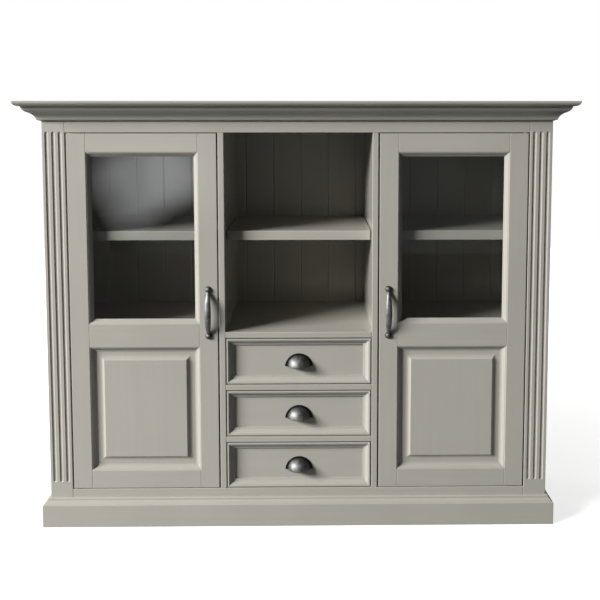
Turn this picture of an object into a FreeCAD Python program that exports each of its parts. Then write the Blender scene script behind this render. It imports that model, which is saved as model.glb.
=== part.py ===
"""Painted country-style highboard with two glazed doors, an open bay and three drawers.

Units are millimetres. +Z is up and the front faces -Y. The origin lies on the floor, under
the middle of the whole piece, with the cornice counted in its depth.
"""
import FreeCAD
import Part
import math
import os

from FreeCAD import Vector

# Carcass
CARCASS_WIDTH = 1570.0
CARCASS_DEPTH = 392.0
TOTAL_HEIGHT = 1337.0
SIDE_THICKNESS = 18.0
PARTITION_THICKNESS = 19.0
BOTTOM_THICKNESS = 18.0
TOP_THICKNESS = 18.0
INNER_FLOOR = 114.0
BOTTOM_RAIL_HEIGHT = 74.0
FRAME_THICKNESS = 22.0
FRIEZE_HEIGHT = 36.0
BAY_WIDTH = 458.0
BAY_FLOOR_THICKNESS = 19.0
EDGE_EASE = 1.7

# Back boards with a V joint between them
BACK_THICKNESS = 12.0
BACK_BOARD_WIDTH = 98.7
BACK_CHAMFER = 2.2
BACK_REBATE = 9.0

# Fluted pilasters
PILASTER_WIDTH = 70.0
FLUTE_COUNT = 3
FLUTE_WIDTH = 10.8
FLUTE_DEPTH = 2.7
FLUTE_SPACING = 20.5
FLUTE_BOTTOM = 136.5
FLUTE_END_MARGIN = 75.0

# Plinth skirting, from the floor up: plain face, ledge, ovolo and a round bead
PLINTH_FACE_HEIGHT = 69.0
PLINTH_ARRIS = 2.0
PLINTH_LEDGE = 2.2
PLINTH_OVOLO_OUT = 8.3
PLINTH_OVOLO_RISE = 9.5
PLINTH_OVOLO_BULGE = 1.6
PLINTH_BEAD_HEIGHT = 8.0
PLINTH_BEAD_OUT = 8.0

# Cornice, from the carcass outwards: bead, cove, ogee, soffit and a rounded nose
CORNICE_BEAD_OUT = 10.0
CORNICE_BEAD_RISE = 3.5
CORNICE_COVE_OUT = 19.0
CORNICE_COVE_RISE = 22.2
CORNICE_COVE_SAG = 3.4
CORNICE_OGEE_OUT = 16.0
CORNICE_OGEE_RISE = 17.8
CORNICE_OGEE_BULGE = 3.2
CORNICE_SOFFIT = 7.0
CORNICE_SOFFIT_RISE = 1.5
CORNICE_NOSE_OUT = 11.5
CORNICE_NOSE_RISE = 10.0
CORNICE_NOSE_BULGE = 2.2
CORNICE_NOSE_FACE = 5.0

# Shelves on pegs
SHELF_THICKNESS = 30.0
SHELF_SETBACK = 40.0
SHELF_SIDE_GAP = 2.5
SHELF_BACK_GAP = 2.0
UPPER_SHELF_LIFT = 1.75
PEG_RADIUS = 2.5
PEG_DEPTH = 9.0
PEG_FIT = 0.05
PEG_TAB_LENGTH = 12.0
PEG_TAB_WIDTH = 9.0
PEG_TAB_HEIGHT = 6.0
PEG_INSET = 45.0
PEG_HOLE_PITCH = 32.0
PEG_SPARE_HOLES = 1

# Doors
DOOR_SIDE_GAP = 4.0
DOOR_END_GAP = 2.2
STILE_WIDTH = 58.0
TOP_RAIL_WIDTH = 58.0
MIDDLE_RAIL_WIDTH = 74.0
MIDDLE_RAIL_RISE = 27.0
BOTTOM_RAIL_WIDTH = 57.5
FACE_EASE = 1.15
TENON_LENGTH = 22.0
TENON_THICKNESS = 7.0
TENON_SHOULDER = 12.0
TENON_FRONT = 8.0
TENON_FIT = 0.1
TENON_END_GAP = 1.0

# Moulding worked on the inner edges of the doors and drawer fronts
QUIRK_DEPTH = 1.2
OVOLO_WIDTH = 6.0
OVOLO_DEPTH = 5.0
OVOLO_BULGE = 1.3
FILLET_WIDTH = 1.4
COVE_WIDTH = 5.2
COVE_DEPTH = 4.6
COVE_SAG = 1.2
STEP_DEPTH = 0.8
LIP_FALL = 0.6
LIP_EDGE = 0.6
GLASS_LIP_WIDTH = 1.2
PANEL_LIP_WIDTH = 4.2

# Glass and its beads
GLASS_THICKNESS = 4.0
GLASS_EDGE_GAP = 2.0
BEAD_WIDTH = 11.0
BEAD_ROUND = 3.0

# Raised door panels
TONGUE_THICKNESS = 6.0
TONGUE_FIT = 0.1
GROOVE_WALL = 5.0
GROOVE_END_GAP = 1.0
PANEL_MARGIN = 11.0
PANEL_COVE_WIDTH = 15.0
PANEL_COVE_RISE = 7.0
PANEL_FIELD_STEP = 1.2

# Pivot hinges at the top and bottom of each door
PIVOT_FROM_EDGE = 10.0
PIVOT_FROM_FACE = 7.0
PIN_RADIUS = 3.0
PIN_LENGTH = 12.0
PIN_CLEARANCE = 0.05
BUSH_WALL = 2.0
BUSH_FIT = 0.05
BUSH_FLANGE_RADIUS = 6.5
BUSH_FLANGE_THICKNESS = 1.8
PIN_END_GAP = 2.0
PLATE_LENGTH = 40.0
PLATE_WIDTH = 10.0
PLATE_THICKNESS = 2.0

# Magnetic catches behind the free stiles
CATCH_DROP = 58.8
CATCH_WIDTH = 14.0
CATCH_DEPTH = 24.0
CATCH_LENGTH = 44.0
STRIKE_WIDTH = 11.0
STRIKE_LENGTH = 36.0
STRIKE_THICKNESS = 1.5
STRIKE_EDGE_GAP = 2.0
CATCH_GAP = 0.3

# Bow handles on domed feet, each part of a ball whose centre lies behind the wood's face
HANDLE_RISE = 35.0
HANDLE_BALL_SPACING = 147.0
HANDLE_BALL_RADIUS = 10.8
HANDLE_BALL_SINK = 2.0
HANDLE_BOW = 22.0
HANDLE_GRIP_RADIUS = 10.2
HANDLE_GRIP_DEPTH = 5.6
HANDLE_NECK_RADIUS = 4.3
HANDLE_HOLE_SPACING = 128.0
HANDLE_POST_RADIUS = 5.0
HANDLE_STATIONS = 11

# Screws for handles and pulls
SCREW_RADIUS = 2.0
SCREW_FIT = 0.1
SCREW_HEAD_RADIUS = 4.2
SCREW_HEAD_HEIGHT = 2.6
SCREW_BITE = 6.0

# Drawers
DRAWER_OPENING = 149.5
DRAWER_RAIL_THICKNESS = 18.0
DRAWER_RAIL_DEPTH = 60.0
DRAWER_FRONT_SIDE_GAP = 3.0
DRAWER_FRONT_END_GAP = 3.0
DRAWER_BORDER = 5.0
DRAWER_PANEL_DROP = 4.2
DRAWER_PANEL_FIT = 0.2
DRAWER_BOX_GAP = 4.5
DRAWER_SIDE_THICKNESS = 12.0
DRAWER_SIDE_HEIGHT = 108.0
DRAWER_BACK_DROP = 6.0
DRAWER_BEHIND_GAP = 22.0
DRAWER_BOTTOM_THICKNESS = 6.0
DRAWER_BOTTOM_RAISE = 10.0
DRAWER_GROOVE_DEPTH = 5.0
DRAWER_GROOVE_FIT = 0.1
RUN_CLEARANCE = 0.3
RUNNER_WIDTH = 22.0
GUIDE_HEIGHT = 12.0
STOP_SPACING = 300.0
STOP_WIDTH = 20.0
STOP_DEPTH = 16.0
STOP_HEIGHT = 8.0

# Cup pulls
CUP_WIDTH = 88.0
CUP_HEIGHT = 41.0
CUP_DEPTH = 30.0
CUP_WALL = 2.0
CUP_DOME_RISE = 37.5
CUP_FLANGE_THICKNESS = 2.2
CUP_HOLE_SPACING = 52.0
CUP_HOLE_RISE = 12.0
CUP_BOSS_RADIUS = 4.0

DRAWER_NAMES = ("bottom", "middle", "top")
TINY = 1e-6

# Moulding totals
PLINTH_OVERHANG = PLINTH_BEAD_OUT + PLINTH_OVOLO_OUT + PLINTH_LEDGE + PLINTH_ARRIS
PLINTH_HEIGHT = PLINTH_FACE_HEIGHT + PLINTH_ARRIS + PLINTH_OVOLO_RISE + PLINTH_BEAD_HEIGHT
CORNICE_OVERHANG = (CORNICE_BEAD_OUT + CORNICE_COVE_OUT + CORNICE_OGEE_OUT
                    + CORNICE_SOFFIT + CORNICE_NOSE_OUT)
CORNICE_HEIGHT = (CORNICE_BEAD_RISE + CORNICE_COVE_RISE + CORNICE_OGEE_RISE
                  + CORNICE_SOFFIT_RISE + CORNICE_NOSE_RISE + CORNICE_NOSE_FACE)
MOULDING_WIDTH = OVOLO_WIDTH + FILLET_WIDTH + COVE_WIDTH
MOULDING_DEPTH = QUIRK_DEPTH + OVOLO_DEPTH + COVE_DEPTH + STEP_DEPTH + LIP_FALL + LIP_EDGE

DRAWER_PANEL_DEPTH = MOULDING_DEPTH + DRAWER_PANEL_DROP

# Main planes
TOTAL_DEPTH = CARCASS_DEPTH + CORNICE_OVERHANG
FRONT = CORNICE_OVERHANG - TOTAL_DEPTH / 2
BACK = TOTAL_DEPTH / 2
FRAME_BACK = FRONT + FRAME_THICKNESS
BACK_FACE = BACK - BACK_THICKNESS
DRAWER_LENGTH = BACK_FACE - DRAWER_BEHIND_GAP - FRAME_BACK
HALF_WIDTH = CARCASS_WIDTH / 2
SIDE_INNER = HALF_WIDTH - SIDE_THICKNESS
PILASTER_INNER = HALF_WIDTH - PILASTER_WIDTH
BAY_HALF = BAY_WIDTH / 2
PARTITION_OUTER = BAY_HALF + PARTITION_THICKNESS
TOP_UNDERSIDE = TOTAL_HEIGHT - TOP_THICKNESS
BOTTOM_UNDERSIDE = INNER_FLOOR - BOTTOM_THICKNESS
CORNICE_BASE = TOTAL_HEIGHT - CORNICE_HEIGHT
FRIEZE_BASE = CORNICE_BASE - FRIEZE_HEIGHT
DRAWER_PITCH = DRAWER_OPENING + DRAWER_RAIL_THICKNESS
BAY_FLOOR_BASE = INNER_FLOOR + len(DRAWER_NAMES) * DRAWER_PITCH - DRAWER_RAIL_THICKNESS
BAY_FLOOR_TOP = BAY_FLOOR_BASE + BAY_FLOOR_THICKNESS
UPPER_SHELF_TOP = (BAY_FLOOR_TOP + FRIEZE_BASE) / 2 + UPPER_SHELF_LIFT
SIDE_SHELF_TOPS = (BAY_FLOOR_TOP, UPPER_SHELF_TOP)

# Left door; the right one is its mirror image
DOOR_OUTER = -PILASTER_INNER + DOOR_SIDE_GAP
DOOR_INNER = -PARTITION_OUTER - DOOR_SIDE_GAP
DOOR_BASE = INNER_FLOOR + DOOR_END_GAP
DOOR_TOP = FRIEZE_BASE - DOOR_END_GAP
MIDDLE_RAIL_TOP = BAY_FLOOR_TOP + MIDDLE_RAIL_RISE
OPENING_X0 = DOOR_OUTER + STILE_WIDTH
OPENING_X1 = DOOR_INNER - STILE_WIDTH
PANEL_Z0 = DOOR_BASE + BOTTOM_RAIL_WIDTH
PANEL_Z1 = MIDDLE_RAIL_TOP - MIDDLE_RAIL_WIDTH
GLASS_Z0 = MIDDLE_RAIL_TOP
GLASS_Z1 = DOOR_TOP - TOP_RAIL_WIDTH
PIVOT_X = DOOR_OUTER + PIVOT_FROM_EDGE
PIVOT_Y = FRONT + PIVOT_FROM_FACE
HANDLE_X = DOOR_INNER - STILE_WIDTH / 2
HANDLE_MIDDLE = MIDDLE_RAIL_TOP + HANDLE_RISE
CATCH_HEIGHT = DOOR_TOP - CATCH_DROP


def box(x0, x1, y0, y1, z0, z1):
    """Block between two corners."""
    return Part.makeBox(x1 - x0, y1 - y0, z1 - z0, Vector(x0, y0, z0))


def eased_board(x0, x1, y0, y1, z0, z1, ease):
    """Board whose four front edges are softened."""
    board = box(x0, x1, y0, y1, z0, z1)
    front = [edge for edge in board.Edges if all(abs(v.Y - y0) < TINY for v in edge.Vertexes)]
    return board.makeFillet(ease, front)


def joined(first, *others):
    """One solid made of pieces that touch."""
    return first.fuse(list(others)).removeSplitter()


def group(shapes):
    """Several separate solids kept in one node."""
    return Part.makeCompound(list(shapes))


def mirrored(shape):
    """Mirror image of a left-hand piece."""
    return shape.mirror(Vector(0, 0, 0), Vector(1, 0, 0))


def round_bar(radius, start, direction, length):
    """Cylinder from a start point."""
    return Part.makeCylinder(radius, length, start, direction)


def arc_to(start, end, bulge):
    """Arc step of an outline: its middle stands off the chord, to the left of the way it runs."""
    run = (end[0] - start[0], end[1] - start[1])
    chord = math.hypot(*run)
    middle = ((start[0] + end[0]) / 2 - run[1] / chord * bulge,
              (start[1] + end[1]) / 2 + run[0] / chord * bulge)
    return (middle, end)


def quarter_bulge(radius):
    """Height of a quarter circle over its chord."""
    return radius * (1 - math.sqrt(0.5))


def outline_face(path, place):
    """Face inside a closed path of points and (middle, end) arc steps, put in space by place."""
    edges = []
    start = place(*path[0])
    here = start
    for step in path[1:]:
        if isinstance(step[0], tuple):
            there = place(*step[1])
            edges.append(Part.Arc(here, place(*step[0]), there).toShape())
        else:
            there = place(*step)
            edges.append(Part.LineSegment(here, there).toShape())
        here = there
    if here.distanceToPoint(start) > TINY:
        edges.append(Part.LineSegment(here, start).toShape())
    return Part.Face(Part.Wire(edges))


def mitred_frame(x0, x1, z0, z1, path, width):
    """Four strips round an opening in the front, mitred at its corners.

    The path gives their section as (distance into the opening, depth behind the front).
    """
    middle_cut = {
        "left": [(x0, z0), (x0, z1), (x0 + width, z1 - width), (x0 + width, z0 + width)],
        "right": [(x1, z0), (x1, z1), (x1 - width, z1 - width), (x1 - width, z0 + width)],
        "bottom": [(x0, z0), (x1, z0), (x1 - width, z0 + width), (x0 + width, z0 + width)],
        "top": [(x0, z1), (x1, z1), (x1 - width, z1 - width), (x0 + width, z1 - width)],
    }
    places = {
        "left": lambda u, v: Vector(x0 + u, FRONT + v, z0),
        "right": lambda u, v: Vector(x1 - u, FRONT + v, z0),
        "bottom": lambda u, v: Vector(x0, FRONT + v, z0 + u),
        "top": lambda u, v: Vector(x0, FRONT + v, z1 - u),
    }
    strips = {}
    for name, corners in middle_cut.items():
        upright = name in ("left", "right")
        run = Vector(0, 0, z1 - z0) if upright else Vector(x1 - x0, 0, 0)
        bar = outline_face(path, places[name]).extrude(run)
        mitre = outline_face(corners, lambda x, z: Vector(x, FRONT, z))
        strips[name] = bar.common(mitre.extrude(Vector(0, FRAME_THICKNESS, 0)))
    return strips


def sticking(start, lip_width):
    """Moulding outline from the face edge inwards: quirk, ovolo, fillet, cove, step and lip."""
    depth = QUIRK_DEPTH
    here = (start, depth)
    path = [here]
    depth += OVOLO_DEPTH
    ovolo_end = (start + OVOLO_WIDTH, depth)
    path.append(arc_to(here, ovolo_end, -OVOLO_BULGE))
    cove_start = (ovolo_end[0] + FILLET_WIDTH, depth)
    path.append(cove_start)
    depth += COVE_DEPTH
    cove_end = (cove_start[0] + COVE_WIDTH, depth)
    path.append(arc_to(cove_start, cove_end, COVE_SAG))
    path.append((cove_end[0], depth + STEP_DEPTH))
    path.append((cove_end[0] + lip_width, depth + STEP_DEPTH + LIP_FALL))
    path.append((cove_end[0] + lip_width, MOULDING_DEPTH))
    return path


def peg_height(shelf_top):
    """Height of the pegs that carry a shelf."""
    return shelf_top - SHELF_THICKNESS - PEG_TAB_HEIGHT / 2


def peg_rows():
    """Depths of the front and rear rows of shelf pegs."""
    return (FRONT + SHELF_SETBACK + PEG_INSET, BACK_FACE - SHELF_BACK_GAP - PEG_INSET)


def peg_holes(x, inward, shelf_tops):
    """Blind holes for shelf pegs in an upright face, with spare ones above and below."""
    radius = PEG_RADIUS + PEG_FIT
    depth = PEG_DEPTH + PEG_FIT
    holes = []
    for top in shelf_tops:
        for step in range(-PEG_SPARE_HOLES, PEG_SPARE_HOLES + 1):
            height = peg_height(top) + step * PEG_HOLE_PITCH
            for y in peg_rows():
                holes.append(round_bar(radius, Vector(x, y, height), Vector(-inward, 0, 0), depth))
    return holes


def shelf_peg(x, y, inward, shelf_top):
    """Peg in an upright face at x, with a flat tab under the shelf."""
    height = peg_height(shelf_top)
    pin = round_bar(PEG_RADIUS, Vector(x, y, height), Vector(-inward, 0, 0), PEG_DEPTH)
    x0, x1 = sorted((x, x + inward * PEG_TAB_LENGTH))
    half = PEG_TAB_WIDTH / 2
    tab = box(x0, x1, y - half, y + half, height - PEG_TAB_HEIGHT / 2, height + PEG_TAB_HEIGHT / 2)
    return joined(pin, tab)


def side_panel():
    """Left side of the carcass, rebated for the back and drilled for shelf pegs."""
    panel = box(-HALF_WIDTH, -SIDE_INNER, FRAME_BACK, BACK, 0, TOP_UNDERSIDE)
    rebate = box(-SIDE_INNER - BACK_REBATE, -SIDE_INNER, BACK_FACE, BACK, BOTTOM_UNDERSIDE, TOP_UNDERSIDE)
    return panel.cut([rebate] + peg_holes(-SIDE_INNER, 1, SIDE_SHELF_TOPS))


def partition():
    """Left partition, notched at its upper front corner for the frieze."""
    body = eased_board(-PARTITION_OUTER, -BAY_HALF, FRONT, BACK_FACE, INNER_FLOOR, FRIEZE_BASE, EDGE_EASE)
    head = box(-PARTITION_OUTER, -BAY_HALF, FRAME_BACK, BACK_FACE, FRIEZE_BASE, TOP_UNDERSIDE)
    holes = peg_holes(-PARTITION_OUTER, -1, SIDE_SHELF_TOPS) + peg_holes(-BAY_HALF, 1, (UPPER_SHELF_TOP,))
    return joined(body, head).cut(holes)


def pilaster():
    """Left pilaster with shallow, round-ended flutes."""
    board = eased_board(-HALF_WIDTH, -PILASTER_INNER, FRONT, FRAME_BACK, 0, TOP_UNDERSIDE, EDGE_EASE)
    middle = -HALF_WIDTH + PILASTER_WIDTH / 2
    half = FLUTE_WIDTH / 2
    radius = (half ** 2 + FLUTE_DEPTH ** 2) / (2 * FLUTE_DEPTH)
    axis_y = FRONT + FLUTE_DEPTH - radius
    low = FLUTE_BOTTOM + half
    high = TOP_UNDERSIDE - FLUTE_END_MARGIN - half
    for index in range(FLUTE_COUNT):
        x = middle + (index - (FLUTE_COUNT - 1) / 2) * FLUTE_SPACING
        flute = round_bar(radius, Vector(x, axis_y, low), Vector(0, 0, 1), high - low)
        ends = [Part.makeSphere(radius, Vector(x, axis_y, z)) for z in (low, high)]
        board = board.cut(flute.fuse(ends))
    return board


def back_boards():
    """Upright back boards, V-jointed, set out from the middle; the outermost are cut to fit."""
    edge = SIDE_INNER + BACK_REBATE
    lines = [0.0]
    while lines[-1] + BACK_BOARD_WIDTH < edge:
        lines.append(lines[-1] + BACK_BOARD_WIDTH)
    lines.append(edge)
    boards = []
    for x0, x1 in zip(lines, lines[1:]):
        section = [
            (x0, BACK), (x1, BACK), (x1, BACK_FACE + BACK_CHAMFER), (x1 - BACK_CHAMFER, BACK_FACE),
            (x0 + BACK_CHAMFER, BACK_FACE), (x0, BACK_FACE + BACK_CHAMFER),
        ]
        face = outline_face(section, lambda x, y: Vector(x, y, BOTTOM_UNDERSIDE))
        board = face.extrude(Vector(0, 0, TOP_UNDERSIDE - BOTTOM_UNDERSIDE))
        boards += [board, mirrored(board)]
    return group(boards)


def pivot_plate(z, up):
    """Plate let flush into the rail at height z, with the pin that the door turns on."""
    start = PIVOT_X - PIVOT_FROM_EDGE
    z0, z1 = sorted((z, z - up * PLATE_THICKNESS))
    half = PLATE_WIDTH / 2
    plate = box(start, start + PLATE_LENGTH, PIVOT_Y - half, PIVOT_Y + half, z0, z1)
    length = DOOR_END_GAP + PIN_LENGTH
    pin = round_bar(PIN_RADIUS, Vector(PIVOT_X, PIVOT_Y, z), Vector(0, 0, up), length)
    return plate, joined(plate, pin)


def door_pivots():
    """Pivot plates with their pins, for both doors."""
    left = [pivot_plate(INNER_FLOOR, 1)[1], pivot_plate(FRIEZE_BASE, -1)[1]]
    return group(left + [mirrored(piece) for piece in left])


def face_rail(z0, z1, plate):
    """Rail across the front between the pilasters, pocketed for the pivot plates."""
    rail = eased_board(-PILASTER_INNER, PILASTER_INNER, FRONT, FRAME_BACK, z0, z1, EDGE_EASE)
    return rail.cut([plate, mirrored(plate)])


def plinth_path():
    """Plinth section as (distance out from the carcass, height)."""
    face = PLINTH_OVERHANG
    arris_start = (face, PLINTH_FACE_HEIGHT)
    arris_end = (face - PLINTH_ARRIS, PLINTH_FACE_HEIGHT + PLINTH_ARRIS)
    ovolo_start = (arris_end[0] - PLINTH_LEDGE, arris_end[1])
    ovolo_end = (ovolo_start[0] - PLINTH_OVOLO_OUT, ovolo_start[1] + PLINTH_OVOLO_RISE)
    bead_half = PLINTH_BEAD_HEIGHT / 2
    bead_nose = (ovolo_end[0], ovolo_end[1] + bead_half)
    bead_end = (ovolo_end[0] - bead_half, PLINTH_HEIGHT)
    return [
        (0, 0), (face, 0), arris_start, arc_to(arris_start, arris_end, -quarter_bulge(PLINTH_ARRIS)),
        ovolo_start, arc_to(ovolo_start, ovolo_end, -PLINTH_OVOLO_BULGE),
        bead_nose, arc_to(bead_nose, bead_end, -quarter_bulge(bead_half)), (0, PLINTH_HEIGHT),
    ]


def cornice_path():
    """Cornice section as (distance out from the carcass, height)."""
    bead = (CORNICE_BEAD_OUT, CORNICE_BASE + CORNICE_BEAD_RISE)
    cove = (bead[0] + CORNICE_COVE_OUT, bead[1] + CORNICE_COVE_RISE)
    ogee = (cove[0] + CORNICE_OGEE_OUT, cove[1] + CORNICE_OGEE_RISE)
    soffit = (ogee[0] + CORNICE_SOFFIT, ogee[1] + CORNICE_SOFFIT_RISE)
    nose = (soffit[0] + CORNICE_NOSE_OUT, soffit[1] + CORNICE_NOSE_RISE)
    return [
        (0, CORNICE_BASE), bead, arc_to(bead, cove, CORNICE_COVE_SAG),
        arc_to(cove, ogee, -CORNICE_OGEE_BULGE), soffit, arc_to(soffit, nose, -CORNICE_NOSE_BULGE),
        (nose[0], TOTAL_HEIGHT), (0, TOTAL_HEIGHT),
    ]


def wrapped_moulding(path, overhang):
    """Moulding round the front and sides of the carcass, mitred at the front corners."""
    outer = HALF_WIDTH + overhang
    nose = FRONT - overhang
    front_plan = [(-HALF_WIDTH, FRONT), (HALF_WIDTH, FRONT), (outer, nose), (-outer, nose)]
    left_plan = [(-HALF_WIDTH, FRONT), (-outer, nose), (-outer, BACK), (-HALF_WIDTH, BACK)]

    def cut_to(plan, bar):
        footprint = outline_face(plan, lambda x, y: Vector(x, y, 0))
        return bar.common(footprint.extrude(Vector(0, 0, TOTAL_HEIGHT)))

    front_section = outline_face(path, lambda out, z: Vector(-outer, FRONT - out, z))
    front = cut_to(front_plan, front_section.extrude(Vector(2 * outer, 0, 0)))
    side_section = outline_face(path, lambda out, z: Vector(-HALF_WIDTH - out, nose, z))
    left = cut_to(left_plan, side_section.extrude(Vector(0, BACK - nose, 0)))
    return front, group([left, mirrored(left)])


def shelf(x0, x1, top):
    """Loose shelf between two upright faces."""
    return eased_board(
        x0 + SHELF_SIDE_GAP, x1 - SHELF_SIDE_GAP, FRONT + SHELF_SETBACK, BACK_FACE - SHELF_BACK_GAP,
        top - SHELF_THICKNESS, top, EDGE_EASE)


def shelf_pegs():
    """Pegs under every loose shelf."""
    pegs = []
    for y in peg_rows():
        pegs.append(shelf_peg(-BAY_HALF, y, 1, UPPER_SHELF_TOP))
        for top in SIDE_SHELF_TOPS:
            pegs.append(shelf_peg(-SIDE_INNER, y, 1, top))
            pegs.append(shelf_peg(-PARTITION_OUTER, y, -1, top))
    return group(pegs + [mirrored(peg) for peg in pegs])


def drawer_floor(index):
    """Height of the lower edge of a drawer's opening."""
    return INNER_FLOOR + index * DRAWER_PITCH


def drawer_rails():
    """Rails between the drawers."""
    rails = []
    for index in range(1, len(DRAWER_NAMES)):
        top = drawer_floor(index)
        rails.append(eased_board(
            -BAY_HALF, BAY_HALF, FRONT, FRONT + DRAWER_RAIL_DEPTH,
            top - DRAWER_RAIL_THICKNESS, top, EDGE_EASE))
    return group(rails)


def drawer_runners():
    """Wooden runners with a side guide; the lowest drawer runs on the carcass bottom."""
    guide_width = DRAWER_BOX_GAP - RUN_CLEARANCE
    start = FRONT + DRAWER_RAIL_DEPTH
    runners = []
    for index in range(len(DRAWER_NAMES)):
        z = drawer_floor(index)
        runner = box(-BAY_HALF, -BAY_HALF + guide_width, start, BACK_FACE, z, z + GUIDE_HEIGHT)
        if index > 0:
            ledge = box(
                -BAY_HALF, -BAY_HALF + RUNNER_WIDTH, start, BACK_FACE, z - DRAWER_RAIL_THICKNESS, z)
            runner = joined(runner, ledge)
        runners += [runner, mirrored(runner)]
    return group(runners)


def drawer_stops():
    """Blocks that stop each drawer front flush with the frame."""
    stops = []
    start = FRAME_BACK + RUN_CLEARANCE
    x = -STOP_SPACING / 2
    for index in range(len(DRAWER_NAMES)):
        z = drawer_floor(index)
        stop = box(x - STOP_WIDTH / 2, x + STOP_WIDTH / 2, start, start + STOP_DEPTH, z, z + STOP_HEIGHT)
        stops += [stop, mirrored(stop)]
    return group(stops)


def base_bearers():
    """Boards under the carcass bottom that take the load of the partitions to the floor."""
    left = box(-PARTITION_OUTER, -BAY_HALF, FRAME_BACK, BACK_FACE, 0, BOTTOM_UNDERSIDE)
    return group([left, mirrored(left)])


def door_catches():
    """Magnets on the partitions that hold the doors shut."""
    start = FRAME_BACK + STRIKE_THICKNESS + CATCH_GAP
    half = CATCH_LENGTH / 2
    left = box(
        -PARTITION_OUTER - CATCH_WIDTH, -PARTITION_OUTER, start, start + CATCH_DEPTH,
        CATCH_HEIGHT - half, CATCH_HEIGHT + half)
    return group([left, mirrored(left)])


def carcass_nodes():
    """Everything that stands still."""
    plinth_front, plinth_returns = wrapped_moulding(plinth_path(), PLINTH_OVERHANG)
    cornice_front, cornice_returns = wrapped_moulding(cornice_path(), CORNICE_OVERHANG)
    side_shelves = [shelf(-SIDE_INNER, -PARTITION_OUTER, top) for top in SIDE_SHELF_TOPS]
    rail_base = INNER_FLOOR - BOTTOM_RAIL_HEIGHT
    return {
        "side_panel_left": side_panel(),
        "side_panel_right": mirrored(side_panel()),
        "partition_left": partition(),
        "partition_right": mirrored(partition()),
        "pilaster_left": pilaster(),
        "pilaster_right": mirrored(pilaster()),
        "bottom_panel": box(
            -SIDE_INNER, SIDE_INNER, FRAME_BACK, BACK_FACE, BOTTOM_UNDERSIDE, INNER_FLOOR),
        "top_board": box(-HALF_WIDTH, HALF_WIDTH, FRONT, BACK, TOP_UNDERSIDE, TOTAL_HEIGHT),
        "back_boards": back_boards(),
        "frieze_rail": face_rail(FRIEZE_BASE, TOP_UNDERSIDE, pivot_plate(FRIEZE_BASE, -1)[0]),
        "bottom_rail": face_rail(rail_base, INNER_FLOOR, pivot_plate(INNER_FLOOR, 1)[0]),
        "bay_floor": eased_board(
            -BAY_HALF, BAY_HALF, FRONT, BACK_FACE, BAY_FLOOR_BASE, BAY_FLOOR_TOP, EDGE_EASE),
        "plinth_front": plinth_front,
        "plinth_returns": plinth_returns,
        "cornice_front": cornice_front,
        "cornice_returns": cornice_returns,
        "centre_shelf": shelf(-BAY_HALF, BAY_HALF, UPPER_SHELF_TOP),
        "side_shelves": group(side_shelves + [mirrored(piece) for piece in side_shelves]),
        "shelf_pegs": shelf_pegs(),
        "drawer_rails": drawer_rails(),
        "drawer_runners": drawer_runners(),
        "drawer_stops": drawer_stops(),
        "base_bearers": base_bearers(),
        "door_pivots": door_pivots(),
        "door_catches": door_catches(),
    }


def panel_groove_path():
    """Section of the moulded edge with a groove behind it for the raised panel."""
    lip = MOULDING_WIDTH + PANEL_LIP_WIDTH
    groove_back = MOULDING_DEPTH + TONGUE_THICKNESS + 2 * TONGUE_FIT
    return sticking(0.0, PANEL_LIP_WIDTH) + [
        (GROOVE_WALL, MOULDING_DEPTH), (GROOVE_WALL, groove_back), (lip, groove_back),
        (lip, FRAME_THICKNESS), (0.0, FRAME_THICKNESS),
    ]


def glass_rebate_path():
    """Section of the moulded edge with a rebate behind it for the glass."""
    return sticking(0.0, GLASS_LIP_WIDTH) + [(0.0, MOULDING_DEPTH)]


def bead_path():
    """Section of the beads that hold the glass from behind."""
    start = MOULDING_DEPTH + GLASS_THICKNESS
    round_start = (BEAD_WIDTH, FRAME_THICKNESS - BEAD_ROUND)
    round_end = (BEAD_WIDTH - BEAD_ROUND, FRAME_THICKNESS)
    return [
        (0.0, start), (BEAD_WIDTH, start), round_start,
        arc_to(round_start, round_end, -quarter_bulge(BEAD_ROUND)), (0.0, FRAME_THICKNESS),
    ]


def rail_tenons(z0, z1, fit, end_gap):
    """Tenons at both ends of a door rail, or with a fit and end gap the mortises for them."""
    y0 = FRONT + TENON_FRONT - fit
    y1 = y0 + TENON_THICKNESS + 2 * fit
    reach = TENON_LENGTH + end_gap
    low = z0 + TENON_SHOULDER - fit
    high = z1 - TENON_SHOULDER + fit
    return [
        box(OPENING_X0 - reach, OPENING_X0, y0, y1, low, high),
        box(OPENING_X1, OPENING_X1 + reach, y0, y1, low, high),
    ]


def door_rail_spans():
    """Lower and upper edges of the three door rails."""
    return [(DOOR_BASE, PANEL_Z0), (PANEL_Z1, GLASS_Z0), (GLASS_Z1, DOOR_TOP)]


def stile(x0, x1, lips):
    """Door stile with its moulded edges and mortises."""
    board = eased_board(x0, x1, FRONT, FRAME_BACK, DOOR_BASE, DOOR_TOP, FACE_EASE)
    mortises = []
    for z0, z1 in door_rail_spans():
        mortises += rail_tenons(z0, z1, TENON_FIT, TENON_END_GAP)
    return joined(board.cut(mortises), *lips)


def door_rail(z0, z1, lips):
    """Door rail with its moulded edges and tenons."""
    board = eased_board(OPENING_X0, OPENING_X1, FRONT, FRAME_BACK, z0, z1, FACE_EASE)
    return joined(board, *rail_tenons(z0, z1, 0.0, 0.0), *lips)


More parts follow.
